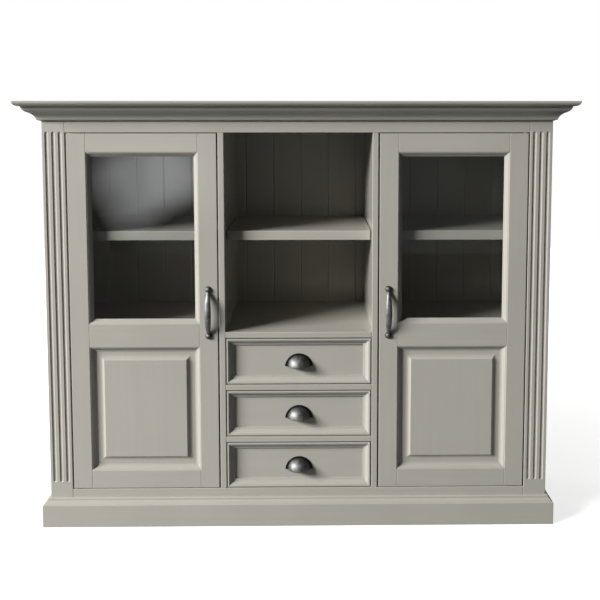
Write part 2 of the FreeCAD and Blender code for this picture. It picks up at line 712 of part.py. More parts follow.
def cove_block_path(low, high):
    """Outline of a raised field between two edges: a cove, a small step and the flat top."""
    radius = (PANEL_COVE_WIDTH ** 2 + PANEL_COVE_RISE ** 2) / (2 * PANEL_COVE_RISE)
    half_turn = math.atan2(PANEL_COVE_WIDTH, radius - PANEL_COVE_RISE) / 2
    run = radius * math.sin(half_turn)
    rise = radius * (1 - math.cos(half_turn))
    top = PANEL_COVE_RISE + PANEL_FIELD_STEP
    return [
        (low, 0.0),
        ((low + run, rise), (low + PANEL_COVE_WIDTH, PANEL_COVE_RISE)),
        (low + PANEL_COVE_WIDTH, top), (high - PANEL_COVE_WIDTH, top),
        (high - PANEL_COVE_WIDTH, PANEL_COVE_RISE),
        ((high - run, rise), (high, 0.0)),
    ]


def raised_panel():
    """Door panel: a tongue in the grooves and a coved field nearly flush with the frame."""
    inset = GROOVE_WALL + GROOVE_END_GAP
    margin_y = FRONT + MOULDING_DEPTH + TONGUE_FIT
    tongue = box(
        OPENING_X0 + inset, OPENING_X1 - inset, margin_y, margin_y + TONGUE_THICKNESS,
        PANEL_Z0 + inset, PANEL_Z1 - inset)
    edge = MOULDING_WIDTH + PANEL_LIP_WIDTH + PANEL_MARGIN
    x0, x1 = OPENING_X0 + edge, OPENING_X1 - edge
    z0, z1 = PANEL_Z0 + edge, PANEL_Z1 - edge
    across = outline_face(cove_block_path(x0, x1), lambda x, rise: Vector(x, margin_y - rise, z0))
    upright = outline_face(cove_block_path(z0, z1), lambda z, rise: Vector(x0, margin_y - rise, z))
    field = across.extrude(Vector(0, 0, z1 - z0)).common(upright.extrude(Vector(x1 - x0, 0, 0)))
    return joined(tongue, field)


def pivot_bush(z, up):
    """Flanged bush in the end of the outer stile, running on the pivot pin."""
    depth = PIN_LENGTH + PIN_END_GAP
    radius = PIN_RADIUS + PIN_CLEARANCE + BUSH_WALL
    axis = Vector(0, 0, up)
    seat = Vector(PIVOT_X, PIVOT_Y, z)
    sleeve = round_bar(radius, seat, axis * -1, depth)
    flange = round_bar(BUSH_FLANGE_RADIUS, seat, axis, BUSH_FLANGE_THICKNESS)
    bore_start = seat + axis * BUSH_FLANGE_THICKNESS
    bore = round_bar(PIN_RADIUS + PIN_CLEARANCE, bore_start, axis * -1, depth + BUSH_FLANGE_THICKNESS)
    seat_hole = round_bar(radius + BUSH_FIT, seat, axis * -1, depth)
    return joined(sleeve, flange).cut(bore), seat_hole


def handle_shape():
    """Bow handle: a flat, swelling grip between two domed feet, with a screw post beside each foot."""
    end_y = FRONT + HANDLE_BALL_SINK
    half = HANDLE_BALL_SPACING / 2
    radius = (half ** 2 + HANDLE_BOW ** 2) / (2 * HANDLE_BOW)
    centre_y = end_y - HANDLE_BOW + radius
    half_turn = math.asin(half / radius)
    rings = []
    for index in range(HANDLE_STATIONS):
        share = 2 * index / (HANDLE_STATIONS - 1) - 1
        turn = share * half_turn
        spot = Vector(HANDLE_X, centre_y - radius * math.cos(turn), HANDLE_MIDDLE + radius * math.sin(turn))
        swell = math.cos(share * math.pi / 2)
        girth = HANDLE_NECK_RADIUS + (HANDLE_GRIP_RADIUS - HANDLE_NECK_RADIUS) * swell
        depth = HANDLE_NECK_RADIUS + (HANDLE_GRIP_DEPTH - HANDLE_NECK_RADIUS) * swell
        along = Vector(0, math.sin(turn), math.cos(turn))
        ring = Part.Ellipse(spot, girth + TINY, depth)
        ring.Axis = along
        ring.XAxis = Vector(1, 0, 0)
        rings.append(Part.Wire(ring.toShape()))
    pieces = []
    for sign in (-1, 1):
        pieces.append(Part.makeSphere(
            HANDLE_BALL_RADIUS, Vector(HANDLE_X, end_y, HANDLE_MIDDLE + sign * half)))
        offset = HANDLE_HOLE_SPACING / 2
        reach = math.sqrt(radius ** 2 - offset ** 2) - centre_y + FRONT
        pieces.append(round_bar(
            HANDLE_POST_RADIUS, Vector(HANDLE_X, FRONT, HANDLE_MIDDLE + sign * offset),
            Vector(0, -1, 0), reach))
    reach = HANDLE_BOW + HANDLE_GRIP_RADIUS
    tall = half + HANDLE_BALL_RADIUS
    room = box(
        HANDLE_X - HANDLE_BALL_RADIUS, HANDLE_X + HANDLE_BALL_RADIUS, FRONT - reach, FRONT,
        HANDLE_MIDDLE - tall, HANDLE_MIDDLE + tall)
    return joined(Part.makeLoft(rings, True), *pieces).common(room)


def screw(start, length):
    """Screw with its head on a rear face at start and its point towards the front."""
    head = round_bar(SCREW_HEAD_RADIUS, start, Vector(0, 1, 0), SCREW_HEAD_HEIGHT)
    return joined(head, round_bar(SCREW_RADIUS, start, Vector(0, -1, 0), length))


def screw_hole(start, length):
    """Clearance hole for such a screw."""
    return round_bar(SCREW_RADIUS + SCREW_FIT, start, Vector(0, -1, 0), length)


def door_nodes():
    """The left door, piece by piece."""
    panel_lip = MOULDING_WIDTH + PANEL_LIP_WIDTH
    glass_lip = MOULDING_WIDTH + GLASS_LIP_WIDTH
    low = mitred_frame(OPENING_X0, OPENING_X1, PANEL_Z0, PANEL_Z1, panel_groove_path(), panel_lip)
    high = mitred_frame(OPENING_X0, OPENING_X1, GLASS_Z0, GLASS_Z1, glass_rebate_path(), glass_lip)
    beads = mitred_frame(OPENING_X0, OPENING_X1, GLASS_Z0, GLASS_Z1, bead_path(), BEAD_WIDTH)
    bushes = [pivot_bush(DOOR_BASE, -1), pivot_bush(DOOR_TOP, 1)]
    offset = HANDLE_HOLE_SPACING / 2
    heights = (HANDLE_MIDDLE - offset, HANDLE_MIDDLE + offset)
    spots = [Vector(HANDLE_X, FRAME_BACK, z) for z in heights]
    length = FRAME_THICKNESS + SCREW_BITE
    holes = [screw_hole(spot, length) for spot in spots]
    outer = stile(DOOR_OUTER, OPENING_X0, [low["left"], high["left"]])
    inner = stile(OPENING_X1, DOOR_INNER, [low["right"], high["right"]])
    spans = door_rail_spans()
    rails = [
        door_rail(*spans[0], [low["bottom"]]),
        door_rail(*spans[1], [low["top"], high["bottom"]]),
        door_rail(*spans[2], [high["top"]]),
    ]
    gap = GLASS_EDGE_GAP
    glass_y = FRONT + MOULDING_DEPTH
    strike_x = DOOR_INNER - STRIKE_EDGE_GAP
    half = STRIKE_LENGTH / 2
    return {
        "outer_stile": outer.cut([hole for _, hole in bushes]),
        "inner_stile": inner.cut(holes),
        "rails": group(rails),
        "panel": raised_panel(),
        "glass": box(
            OPENING_X0 + gap, OPENING_X1 - gap, glass_y, glass_y + GLASS_THICKNESS,
            GLASS_Z0 + gap, GLASS_Z1 - gap),
        "glazing_beads": group(beads.values()),
        "pivot_bushes": group(bush for bush, _ in bushes),
        "handle": handle_shape().cut(holes),
        "handle_screws": group(screw(spot, length) for spot in spots),
        "strike_plate": box(
            strike_x - STRIKE_WIDTH, strike_x, FRAME_BACK, FRAME_BACK + STRIKE_THICKNESS,
            CATCH_HEIGHT - half, CATCH_HEIGHT + half),
    }


def drawer_front(floor, holes):
    """Drawer front: a mitred, moulded frame with a flat panel behind it."""
    x0, x1 = -BAY_HALF + DRAWER_FRONT_SIDE_GAP, BAY_HALF - DRAWER_FRONT_SIDE_GAP
    z0 = floor + DRAWER_FRONT_END_GAP
    z1 = floor + DRAWER_OPENING - DRAWER_FRONT_END_GAP
    width = DRAWER_BORDER + MOULDING_WIDTH + PANEL_LIP_WIDTH
    ease_start = (0.0, FACE_EASE)
    ease_end = (FACE_EASE, 0.0)
    path = [
        (0.0, FRAME_THICKNESS), ease_start,
        arc_to(ease_start, ease_end, -quarter_bulge(FACE_EASE)), (DRAWER_BORDER, 0.0),
    ] + sticking(DRAWER_BORDER, PANEL_LIP_WIDTH) + [
        (width, DRAWER_PANEL_DEPTH), (DRAWER_BORDER, DRAWER_PANEL_DEPTH), (DRAWER_BORDER, FRAME_THICKNESS),
    ]
    strips = mitred_frame(x0, x1, z0, z1, path, width)
    inset = DRAWER_BORDER + DRAWER_PANEL_FIT
    panel = box(
        x0 + inset, x1 - inset, FRONT + DRAWER_PANEL_DEPTH, FRAME_BACK, z0 + inset, z1 - inset)
    return group(list(strips.values()) + [panel.cut(holes)])


def drawer_walls(floor):
    """Drawer sides, grooved for the bottom, and the back between them."""
    half = BAY_HALF - DRAWER_BOX_GAP
    base = floor + RUN_CLEARANCE
    end = FRAME_BACK + DRAWER_LENGTH
    side = box(-half, -half + DRAWER_SIDE_THICKNESS, FRAME_BACK, end, base, base + DRAWER_SIDE_HEIGHT)
    groove_x = -half + DRAWER_SIDE_THICKNESS
    groove_z = base + DRAWER_BOTTOM_RAISE
    groove_height = DRAWER_BOTTOM_THICKNESS + 2 * DRAWER_GROOVE_FIT
    side = side.cut(box(
        groove_x - DRAWER_GROOVE_DEPTH, groove_x, FRAME_BACK, end, groove_z, groove_z + groove_height))
    back = box(
        groove_x, -groove_x, end - DRAWER_SIDE_THICKNESS, end,
        groove_z + DRAWER_GROOVE_FIT + DRAWER_BOTTOM_THICKNESS, base + DRAWER_SIDE_HEIGHT - DRAWER_BACK_DROP)
    return group([side, mirrored(side), back])


def drawer_bottom(floor):
    """Thin drawer bottom, held in the grooves of the sides."""
    half = BAY_HALF - DRAWER_BOX_GAP - DRAWER_SIDE_THICKNESS + DRAWER_GROOVE_DEPTH - DRAWER_GROOVE_FIT
    base = floor + RUN_CLEARANCE + DRAWER_BOTTOM_RAISE + DRAWER_GROOVE_FIT
    end = FRAME_BACK + DRAWER_LENGTH
    return box(-half, half, FRAME_BACK, end, base, base + DRAWER_BOTTOM_THICKNESS)


def cup_pull(floor, holes):
    """Cup pull: part of a hollow ball, open below, on a flat flange."""
    base = floor + DRAWER_OPENING / 2 - CUP_HEIGHT / 2
    seat = FRONT + DRAWER_PANEL_DEPTH
    radius = (CUP_DOME_RISE ** 2 + CUP_DEPTH ** 2) / (2 * CUP_DEPTH)
    centre = Vector(0, seat + radius - CUP_DEPTH, base)
    dome = Part.makeSphere(radius, centre)
    hollow = Part.makeSphere(radius - CUP_WALL, centre)
    flange_radius = ((CUP_WIDTH / 2) ** 2 + CUP_HEIGHT ** 2) / (2 * CUP_HEIGHT)
    flange_centre = Vector(0, seat, base + CUP_HEIGHT - flange_radius)
    forward = Vector(0, -1, 0)
    flange = round_bar(flange_radius, flange_centre, forward, CUP_FLANGE_THICKNESS)
    room = box(-CUP_WIDTH, CUP_WIDTH, seat - CUP_DEPTH - CUP_WALL, seat, base, base + CUP_HEIGHT + CUP_WALL)
    bosses = []
    for sign in (-1, 1):
        spot = Vector(sign * CUP_HOLE_SPACING / 2, seat, base + CUP_HOLE_RISE)
        bosses.append(round_bar(CUP_BOSS_RADIUS, spot, forward, CUP_DEPTH).common(dome))
    shell = dome.fuse(flange).cut(hollow)
    return joined(shell, *bosses).common(room).cut(holes)


def drawer_nodes(index):
    """One drawer, piece by piece."""
    floor = drawer_floor(index)
    z = floor + DRAWER_OPENING / 2 - CUP_HEIGHT / 2 + CUP_HOLE_RISE
    length = FRAME_THICKNESS - DRAWER_PANEL_DEPTH + SCREW_BITE
    spots = [Vector(sign * CUP_HOLE_SPACING / 2, FRAME_BACK, z) for sign in (-1, 1)]
    holes = [screw_hole(spot, length) for spot in spots]
    return {
        "front": drawer_front(floor, holes),
        "walls": drawer_walls(floor),
        "bottom": drawer_bottom(floor),
        "pull": cup_pull(floor, holes),
        "pull_screws": group(screw(spot, length) for spot in spots),
    }


def all_nodes():
    """Every named piece of the highboard."""
    nodes = carcass_nodes()
    for name, shape in door_nodes().items():
        nodes["left_door_" + name] = shape
        nodes["right_door_" + name] = mirrored(shape)
    for index, place in enumerate(DRAWER_NAMES):
        for name, shape in drawer_nodes(index).items():
            nodes[place + "_drawer_" + name] = shape
    return nodes


def main():
    """Write one file per named piece."""
    os.makedirs("parts", exist_ok=True)
    for name, shape in all_nodes().items():
        if not shape.isValid():
            raise ValueError("invalid shape: " + name)
        shape.exportStep(os.path.join("parts", name + ".step"))


if __name__ == "__main__":
    main()
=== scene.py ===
"""Painted country highboard: finishes, cast fittings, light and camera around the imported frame.

Lengths are metres in the frame's own axes: +Z is up and the front faces -Y.
"""
import logging
import math
from dataclasses import dataclass
from enum import Enum
from typing import Any, Mapping, Sequence

import bpy
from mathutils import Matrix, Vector


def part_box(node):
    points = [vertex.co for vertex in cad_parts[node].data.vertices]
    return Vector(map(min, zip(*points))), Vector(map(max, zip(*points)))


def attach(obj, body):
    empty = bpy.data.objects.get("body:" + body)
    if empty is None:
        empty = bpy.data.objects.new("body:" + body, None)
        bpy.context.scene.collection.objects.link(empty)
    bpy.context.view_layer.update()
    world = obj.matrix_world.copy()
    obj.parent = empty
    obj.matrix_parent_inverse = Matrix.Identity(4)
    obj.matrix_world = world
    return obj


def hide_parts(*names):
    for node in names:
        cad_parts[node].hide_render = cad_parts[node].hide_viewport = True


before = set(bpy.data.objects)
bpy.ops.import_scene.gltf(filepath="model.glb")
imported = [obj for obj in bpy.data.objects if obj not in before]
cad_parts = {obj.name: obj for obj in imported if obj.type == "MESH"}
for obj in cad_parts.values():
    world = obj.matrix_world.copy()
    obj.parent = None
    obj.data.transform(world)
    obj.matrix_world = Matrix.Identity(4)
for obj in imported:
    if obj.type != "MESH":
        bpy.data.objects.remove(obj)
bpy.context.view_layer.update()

log = logging.getLogger("highboard")

Colour = tuple[float, float, float, float]
Triple = tuple[float, float, float]
Pair = tuple[float, float]
Socket = bpy.types.NodeSocket

WHITE: Colour = (1.0, 1.0, 1.0, 1.0)
WHOLE: Pair = (0.0, 1.0)
# Tells 0 from 1, and no bounce of light from one or more.
HALF = 0.5
QUARTER_TURN = math.pi / 2
# Edges sharper than this many degrees stay sharp in smooth shading.
SMOOTH_ANGLE = 40.0


class Grain(Enum):
    """The way a board's fibres run."""

    UPRIGHT = "upright"
    ACROSS = "across"
    INWARD = "inward"

    def stretch(self, along: float) -> Triple:
        """Give a pattern's scale, drawn out along the fibres.

        Args:
            along: Scale along the fibres, where 1 is the scale across them.

        Returns:
            Scale on X, Y and Z.
        """
        if self is Grain.UPRIGHT:
            return (1.0, 1.0, along)
        if self is Grain.ACROSS:
            return (along, 1.0, 1.0)
        return (1.0, along, 1.0)


class NodeSheet:
    """A new material, or the air around the piece, and the nodes laid out on it."""

    def __init__(self, name: str, is_air: bool = False) -> None:
        """Start with one plain shader.

        Args:
            name: Name of the material.
            is_air: True for the air around the piece.
        """
        self.material = (bpy.data.worlds if is_air else bpy.data.materials).new(name)
        self.material.use_nodes = True
        self.nodes = self.material.node_tree.nodes
        self.links = self.material.node_tree.links
        self.shader = self.nodes["Background" if is_air else "Principled BSDF"]
        self.surface = self.nodes["World Output" if is_air else "Material Output"].inputs["Surface"]

    def feed(self, socket: Socket, value: Any) -> None:
        """Link an output to an input, or set the input's own value.

        Args:
            socket: The input.
            value: Another node's output, or a plain value.
        """
        if isinstance(value, Socket):
            self.links.new(value, socket)
        else:
            socket.default_value = value

    def add(self, kind: str, feeds: Mapping[Any, Any], **settings: Any) -> bpy.types.Node:
        """Add a node.

        Args:
            kind: The node's type, without the words that all shader nodes start with.
            feeds: What goes into its inputs, by their names or numbers.
            settings: Properties of the node itself.

        Returns:
            The node.
        """
        node = self.nodes.new("ShaderNode" + kind)
        for name, value in settings.items():
            setattr(node, name, value)
        for key, value in feeds.items():
            self.feed(node.inputs[key], value)
        return node

    def places(self) -> Socket:
        """Give the surface's own coordinates in metres."""
        return self.add("TexCoord", {}).outputs["Object"]

    def depth(self, places: Socket) -> Socket:
        """Give the coordinate that runs from front to back."""
        return self.add("SeparateXYZ", {"Vector": places}).outputs["Y"]

    def scaled(self, places: Socket, scale: Triple) -> Socket:
        """Scale coordinates differently on each axis."""
        return self.add("Mapping", {"Vector": places, "Scale": scale}).outputs[0]

    def noise(self, places: Socket, scale: float, detail: float) -> Socket:
        """Add a soft random pattern around 0.5, with a scale per metre and a number of finer layers."""
        return self.add("TexNoise", {"Vector": places, "Scale": scale, "Detail": detail}).outputs[0]

    def span(self, value: Socket, ends: Pair, to: Pair) -> Socket:
        """Carry one range of values over to another, and stop at its ends."""
        feeds = {"Value": value, "From Min": ends[0], "From Max": ends[1], "To Min": to[0], "To Max": to[1]}
        return self.add("MapRange", feeds).outputs[0]

    def between(self, share: Any, first: Any, second: Any) -> Socket:
        """Blend two values, at the node's inputs 2 and 3, by the second one's share."""
        return self.add("Mix", {0: share, 2: first, 3: second}).outputs[0]

    def blend(self, share: Any, first: Any, second: Any) -> Socket:
        """Blend two colours, at the node's inputs 6 and 7, by the second one's share."""
        return self.add("Mix", {0: share, 6: first, 7: second}, data_type="RGBA").outputs[2]

    def sums(self, kind: str, *values: Any) -> Socket:
        """Work out one sum of a kind from some values."""
        return self.add("Math", dict(enumerate(values)), operation=kind).outputs[0]

    def bump(self, height: Socket, depth: float, normal: Any = None) -> Socket:
        """Raise a surface by a pattern.

        Args:
            height: The pattern.
            depth: Height of the pattern in metres.
            normal: Normal to start from, if it isn't the surface's own.

        Returns:
            The new normal.
        """
        feeds = {"Height": height, "Strength": 1.0, "Distance": depth}
        if normal is not None:
            feeds["Normal"] = normal
        return self.add("Bump", feeds).outputs[0]

    def finish(self, feeds: Mapping[str, Any]) -> bpy.types.Material:
        """Set the shader's inputs.

        Args:
            feeds: Values and outputs by input name.

        Returns:
            The finished material.
        """
        for name, value in feeds.items():
            self.feed(self.shader.inputs[name], value)
        return self.material

    def choose(self, share: Socket, first: bpy.types.Node, second: bpy.types.Node) -> bpy.types.Material:
        """Show one of two shaders.

        Args:
            share: 0 where the first shader shows, 1 where the second does.
            first: First shader.
            second: Second shader.

        Returns:
            The finished material.
        """
        mixed = self.add("MixShader", {0: share, 1: first.outputs[0], 2: second.outputs[0]})
        self.links.new(mixed.outputs[0], self.surface)
        return self.material


@dataclass(frozen=True)
class LacquerFinish:
    """Warm grey satin lacquer, sprayed on wood whose fibres still show faintly.

    A pair called ends is the range of a pattern that the colours or the roughness are spread over.
    """

    tone: Colour = (0.405, 0.386, 0.342, 1.0)
    deep_tone: Colour = (0.384, 0.365, 0.322, 1.0)
    tone_ends: Pair = (0.35, 0.65)
    # Painted highlight and wear: edges are lighter, partly as paint worn thin and partly as a painted
    # highlight where light catches the rounding; inner corners get the lighter tone too.
    edge_wear_and_highlight_tone: Colour = (0.52, 0.506, 0.468, 1.0)
    edge_radius: float = 0.0018
    edge_samples: int = 4
    edge_ends: Pair = (0.995, 0.8)
    edge_wear_and_highlight_share: float = 0.6
    roughness: Pair = (0.09, 0.15)
    roughness_ends: Pair = (0.7, 1.3)
    specular: float = 0.5
    fibre_scale: float = 520.0
    fibre_draw: float = 0.02
    fibre_depth: float = 0.00003
    streak_scale: float = 65.0
    streak_draw: float = 0.05
    cloud_scale: float = 4.5
    cloud_share: float = 0.65
    peel_scale: float = 1100.0
    peel_depth: float = 0.00005

    def material(self, grain: Grain) -> bpy.types.Material:
        """Make the material.

        Args:
            grain: The way the wood's fibres run under the lacquer.

        Returns:
            The material.
        """
        sheet = NodeSheet("lacquer_" + grain.value)
        places = sheet.places()
        along_fibres = sheet.scaled(places, grain.stretch(self.fibre_draw))
        fibres = sheet.noise(along_fibres, self.fibre_scale, detail=4.0)
        along_streaks = sheet.scaled(places, grain.stretch(self.streak_draw))
        streaks = sheet.noise(along_streaks, self.streak_scale, detail=2.0)
        clouds = sheet.noise(places, self.cloud_scale, detail=4.0)
        peel = sheet.noise(places, self.peel_scale, detail=1.0)
        rounded = sheet.add("Bevel", {"Radius": self.edge_radius}, samples=self.edge_samples).outputs[0]
        own = sheet.add("NewGeometry", {}).outputs["Normal"]
        facing = sheet.add("VectorMath", {0: rounded, 1: own}, operation="DOT_PRODUCT").outputs["Value"]
        # Painted highlight and wear: where the rounded normal turns away from the flat one, the lighter edge
        # tone goes in.
        edges = sheet.span(facing, self.edge_ends, (0.0, self.edge_wear_and_highlight_share))
        patches = sheet.between(self.cloud_share, streaks, clouds)
        colour = sheet.blend(sheet.span(patches, self.tone_ends, WHOLE), self.tone, self.deep_tone)
        normal = sheet.bump(peel, self.peel_depth, rounded)
        return sheet.finish({
            "Base Color": sheet.blend(edges, colour, self.edge_wear_and_highlight_tone),
            "Roughness": sheet.span(sheet.sums("ADD", fibres, clouds), self.roughness_ends, self.roughness),
            "Normal": sheet.bump(fibres, self.fibre_depth, normal),
            "Specular IOR Level": self.specular,
        })


@dataclass(frozen=True)
class PineFinish:
    """Planed pine with growth rings and fine fibres."""

    early_wood: Colour = (0.66, 0.47, 0.27, 1.0)
    late_wood: Colour = (0.47, 0.27, 0.11, 1.0)
    late_sharpness: float = 2.2
    ring_scale: float = 30.0
    ring_draw: float = 0.045
    ring_drift: float = 5.0
    ring_detail: float = 2.0
    ring_detail_scale: float = 0.35
    fibre_scale: float = 600.0
    fibre_draw: float = 0.015
    fibre_depth: float = 0.00012
    fibre_ends: Pair = (0.3, 0.7)
    fibre_tint: float = 0.35
    roughness: Pair = (0.5, 0.68)
    specular: float = 0.3

    def rings(self, sheet: NodeSheet, places: Socket, grain: Grain) -> tuple[Socket, Socket]:
        """Draw rings and fibres along one direction.

        Args:
            sheet: The material's nodes.
            places: Coordinates in metres.
            grain: The way the fibres run.

        Returns:
            Values of the rings and of the fibres.
        """
        feeds = {
            "Vector": sheet.scaled(places, grain.stretch(self.ring_draw)), "Scale": self.ring_scale,
            "Distortion": self.ring_drift, "Detail": self.ring_detail, "Detail Scale": self.ring_detail_scale}
        rings = sheet.add("TexWave", feeds, bands_direction="DIAGONAL").outputs[1]
        along_fibres = sheet.scaled(places, grain.stretch(self.fibre_draw))
        return rings, sheet.noise(along_fibres, self.fibre_scale, detail=4.0)

    def material(self, grain: Grain, ends_across: bool = False) -> bpy.types.Material:
        """Make the material.

        Args:
            grain: The way the fibres run.
            ends_across: True where boards that face front or back have their fibres across.

        Returns:
            The material.
        """
        sheet = NodeSheet("pine_" + grain.value + ("_box" if ends_across else ""))
        coordinates = sheet.add("TexCoord", {}).outputs
        rings, fibres = self.rings(sheet, coordinates["Object"], grain)
        if ends_across:
            facing = sheet.sums("ABSOLUTE", sheet.depth(coordinates["Normal"]))
            at_end = sheet.sums("GREATER_THAN", facing, HALF)
            end_rings, end_fibres = self.rings(sheet, coordinates["Object"], Grain.ACROSS)
            rings = sheet.between(at_end, rings, end_rings)
            fibres = sheet.between(at_end, fibres, end_fibres)
        late = sheet.sums("POWER", rings, self.late_sharpness)
        wood = sheet.blend(late, self.early_wood, self.late_wood)
        tint = sheet.span(fibres, self.fibre_ends, (0.0, self.fibre_tint))
        return sheet.finish({
            "Base Color": sheet.blend(tint, wood, self.late_wood),
            "Roughness": sheet.span(fibres, self.fibre_ends, self.roughness),
            "Normal": sheet.bump(fibres, self.fibre_depth),
            "Specular IOR Level": self.specular,
        })


@dataclass(frozen=True)
class PewterFinish:
    """Cast metal with a dark patina, burnished where hands and cloths reach it.

    The size of its spots is counted in grains of the casting.
    """

    slot: str = "antique_iron"
    patina: Colour = (0.034, 0.034, 0.033, 1.0)
    burnished: Colour = (0.27, 0.273, 0.268, 1.0)
    roughness: Pair = (0.52, 0.64)
    roughness_ends: Pair = (0.75, 1.25)
    cast_scale: float = 260.0
    cast_depth: float = 0.00012
    spot_size: float = 3.0
    spot_ends: Pair = (0.3, 0.62)
    spot_wear: Pair = (0.45, 1.0)

    def material(self, name: str, recess: float, crown: float) -> bpy.types.Material:
        """Make the material for one kind of fitting.

        Args:
            name: Kind of fitting.
            recess: Y at which the patina is darkest, next to the wood.
            crown: Y from which the metal is burnished.

        Returns:
            The material.
        """
        sheet = NodeSheet("pewter_" + name)
        places = sheet.places()
        cast = sheet.noise(places, self.cast_scale, detail=4.0)
        spots = sheet.noise(places, self.cast_scale / self.spot_size, detail=5.0)
        out = sheet.span(sheet.depth(places), (recess, crown), WHOLE)
        rubbed = sheet.sums("MULTIPLY", out, sheet.span(spots, self.spot_ends, self.spot_wear))
        return sheet.finish({
            "Base Color": sheet.blend(rubbed, self.patina, self.burnished),
            "Metallic": 1.0,
            "Roughness": sheet.span(sheet.sums("ADD", spots, cast), self.roughness_ends, self.roughness),
            "Normal": sheet.bump(cast, self.cast_depth),
        })


@dataclass(frozen=True)
class PlatedFinish:
    """Small metal parts, drawn or turned, with fine tool marks and dull stains."""

    slot: str
    tone: Colour
    dull_tone: Colour
    roughness: Pair = (0.25, 0.42)
    mark_scale: float = 900.0
    mark_draw: float = 4.0
    mark_depth: float = 0.00002
    mark_ends: Pair = (0.3, 0.7)
    stain_scale: float = 100.0
    stain_ends: Pair = (0.4, 0.7)
    stain_share: float = 0.8

    def material(self) -> bpy.types.Material:
        """Make the material.

        Returns:
            The material.
        """
        sheet = NodeSheet(self.slot + "_plated")
        places = sheet.places()
        along_marks = sheet.scaled(places, Grain.UPRIGHT.stretch(self.mark_draw))
        marks = sheet.noise(along_marks, self.mark_scale, detail=2.0)
        stains = sheet.noise(places, self.stain_scale, detail=4.0)
        dull = sheet.span(stains, self.stain_ends, (0.0, self.stain_share))
        return sheet.finish({
            "Base Color": sheet.blend(dull, self.tone, self.dull_tone),
            "Metallic": 1.0,
            "Roughness": sheet.span(marks, self.mark_ends, self.roughness),
            "Normal": sheet.bump(marks, self.mark_depth),
        })


@dataclass(frozen=True)
class MouldedFinish:
    """Brown moulded plastic with a fine spark-eroded texture."""

    tone: Colour = (0.11, 0.085, 0.062, 1.0)
    pale_tone: Colour = (0.14, 0.11, 0.083, 1.0)
    tone_ends: Pair = (0.4, 0.6)
    roughness: Pair = (0.45, 0.6)
    roughness_ends: Pair = (0.35, 0.65)
    texture_scale: float = 1500.0
    texture_depth: float = 0.00005

    def material(self) -> bpy.types.Material:
        """Make the material.

        Returns:
            The material.
        """
        sheet = NodeSheet("moulded_plastic")
        texture = sheet.noise(sheet.places(), self.texture_scale, detail=2.0)
        return sheet.finish({
            "Base Color": sheet.blend(sheet.span(texture, self.tone_ends, WHOLE), self.tone, self.pale_tone),
            "Roughness": sheet.span(texture, self.roughness_ends, self.roughness),
            "Normal": sheet.bump(texture, self.texture_depth),
        })


@dataclass(frozen=True)
class GlassFinish:
    """Clear float glass that is very slightly uneven."""

    tint: Colour = (0.965, 0.985, 0.975, 1.0)
    lamp_tint: Colour = (0.86, 0.875, 0.87, 1.0)
    index: float = 1.5
    wave_scale: float = 2.6
    wave_depth: float = 0.0006

    def material(self) -> bpy.types.Material:
        """Make the material, which lets the light of the lamp through.

        Returns:
            The material.
        """
        sheet = NodeSheet("float_glass")
        waves = sheet.noise(sheet.places(), self.wave_scale, detail=1.0)
        sheet.finish({
            "Base Color": self.tint,
            "Roughness": 0.0,
            "IOR": self.index,
            "Transmission Weight": 1.0,
            "Normal": sheet.bump(waves, self.wave_depth),
        })
        clear = sheet.add("BsdfTransparent", {"Color": self.lamp_tint})
        path = sheet.add("LightPath", {}).outputs
        bounced = sheet.sums("GREATER_THAN", path["Diffuse Depth"], HALF)
        return sheet.choose(sheet.sums("MAXIMUM", path["Is Shadow Ray"], bounced), sheet.shader, clear)


class Finishes:
    """All finishes of the piece, with the materials that several pieces share."""

    lacquer = LacquerFinish()
    pine = PineFinish()
    pewter = PewterFinish()
    steel = PlatedFinish("steel", (0.6, 0.59, 0.57, 1.0), (0.4, 0.39, 0.37, 1.0))
    brass = PlatedFinish("brass", (0.66, 0.48, 0.2, 1.0), (0.42, 0.29, 0.11, 1.0))
    plastic = MouldedFinish()
    glass = GlassFinish()

    def __init__(self) -> None:
        """Make each shared material once."""
        self.painted = {grain: self.lacquer.material(grain) for grain in Grain}
        self.planed = {grain: self.pine.material(grain) for grain in Grain}
        self.box_pine = self.pine.material(Grain.INWARD, ends_across=True)
        self.steel_parts = self.steel.material()
        self.brass_parts = self.brass.material()
        self.catch_parts = self.plastic.material()
        self.panes = self.glass.material()


def dress(node: str, material: bpy.types.Material) -> None:
    """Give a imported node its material.

    Args:
        node: Name of the node.
        material: Its material.
    """
    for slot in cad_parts[node].material_slots:
        slot.material = material
    log.info("dressed %s in %s", node, material.name)


def clear_selection() -> None:
    """Leave nothing selected, in object mode."""
    if bpy.context.object and bpy.context.object.mode != "OBJECT":
        bpy.ops.object.mode_set(mode="OBJECT")
    bpy.ops.object.select_all(action="DESELECT")


def take(piece: bpy.types.Object) -> None:
    """Make one object the active one and the only one selected.

    Args:
        piece: The object.
    """
    clear_selection()
    bpy.context.view_layer.objects.active = piece
    piece.select_set(True)


def settle(piece: bpy.types.Object) -> None:
    """Put an object's place into its mesh."""
    take(piece)
    bpy.ops.object.transform_apply(location=True, rotation=True, scale=True)


def apply_modifier(piece: bpy.types.Object, kind: str, **settings: Any) -> None:
    """Add a modifier and apply it.

    Args:
        piece: The object.
        kind: The modifier's type.
        settings: Its properties.
    """
    take(piece)
    modifier = piece.modifiers.new(kind.lower(), kind)
    for name, value in settings.items():
        setattr(modifier, name, value)
    bpy.ops.object.modifier_apply(modifier=modifier.name)


def round_edges(piece: bpy.types.Object, width: float, angle: float, segments: int) -> None:
    """Round the edges of a piece that are sharper than an angle in degrees."""
    limit = {"limit_method": "ANGLE", "angle_limit": math.radians(angle)}
    apply_modifier(piece, "BEVEL", width=width, segments=segments, **limit)


def join(pieces: Sequence[bpy.types.Object], name: str) -> bpy.types.Object:
    """Make one object of several.

    Args:
        pieces: The objects, of which the first stays.
        name: Name of the result.

    Returns:
        The object.
    """
    take(pieces[0])
    for piece in pieces:
        piece.select_set(True)
    bpy.ops.object.join()
    pieces[0].name = name
    pieces[0].data.name = name
    return pieces[0]


